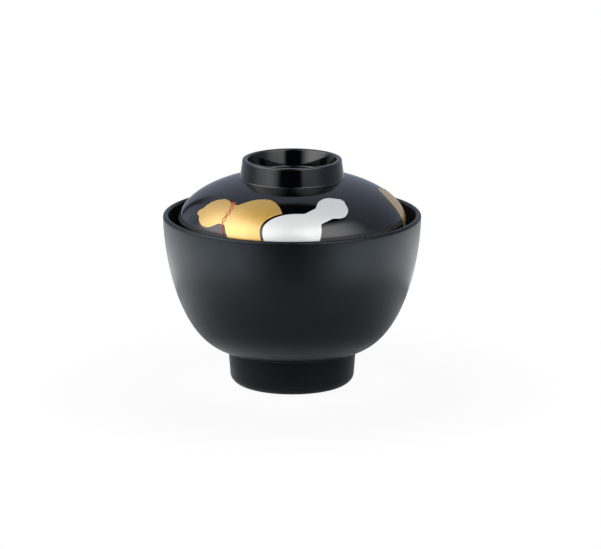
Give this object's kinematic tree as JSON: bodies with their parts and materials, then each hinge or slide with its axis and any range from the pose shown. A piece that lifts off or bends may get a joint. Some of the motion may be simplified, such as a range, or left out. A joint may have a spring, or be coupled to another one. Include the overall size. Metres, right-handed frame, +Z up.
{
  "type": "lidded soup bowl",
  "caption": "Round soup bowl on a ring foot, with a domed lid that seats inside the rim and lifts off by its grip ring. Black lacquer finish, gold and silver gourds on the lid.",
  "frame": {"origin": "on the bowl's turning axis, on the plane that the foot ring stands on", "axes": "+Z up along the turning axis and the way the lid lifts; -Y is the front, where the first gold and silver gourds meet"},
  "size_m": [0.11, 0.11, 0.098],
  "materials": {
    "satin_lacquer": "satin black lacquer over moulded resin",
    "gloss_lacquer": "polished black lacquer over moulded resin",
    "gold_foil": "satin gold foil",
    "silver_foil": "satin silver foil"
  },
  "bodies": {
    "bowl": {"bowl": "satin_lacquer"},
    "lid": {"lid": "gloss_lacquer", "gold_gourd_1": "gold_foil", "gold_gourd_2": "gold_foil", "silver_gourd_1": "silver_foil", "silver_gourd_2": "silver_foil"}
  },
  "joints": [
    {"name": "lid_lift", "type": "slide", "parent": "bowl", "child": "lid", "axis": [0, 0, 1], "range_m": [0, 0.08]}
  ]
}
